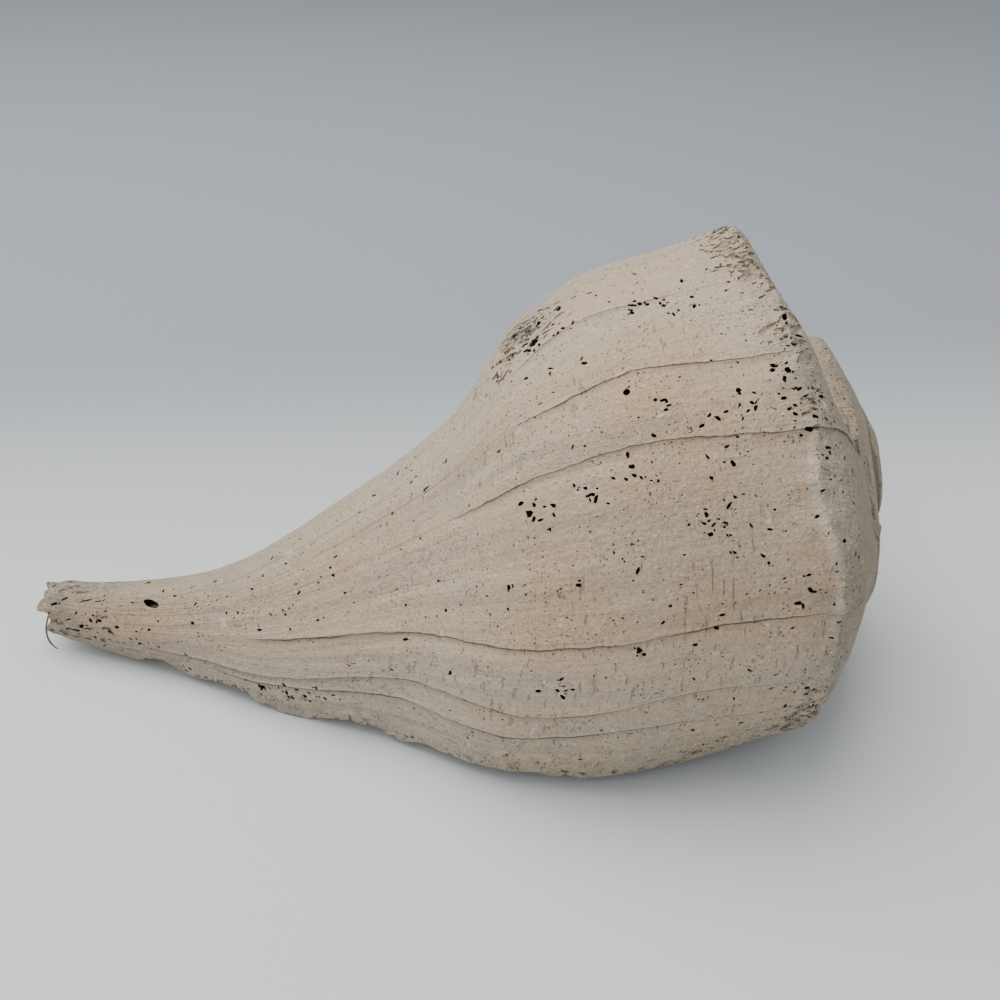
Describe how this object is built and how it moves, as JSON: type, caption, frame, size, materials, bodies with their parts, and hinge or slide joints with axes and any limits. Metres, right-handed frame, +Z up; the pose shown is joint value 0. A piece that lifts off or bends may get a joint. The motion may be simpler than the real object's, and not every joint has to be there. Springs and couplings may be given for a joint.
{
  "type": "whelk shell",
  "caption": "Weathered lightning whelk seashell with a left-handed spire, knobbed shoulder, wide body and long open canal, lying on its aperture and riddled with small bore holes.",
  "frame": {"origin": "bottom centre of the bounding box, on the plane of the surface the shell lies on", "axes": "+Z up in the resting pose; +X along the shell's long axis towards the spire, with the tip of the canal towards -X; the outer lip and the rounded back face -Y"},
  "size_m": [0.2368, 0.1402, 0.122],
  "materials": {
    "shell": "bleached and chalky, dull, warm grey-cream with small dark pits"
  },
  "bodies": {
    "root": {"shell": "shell"}
  },
  "joints": []
}
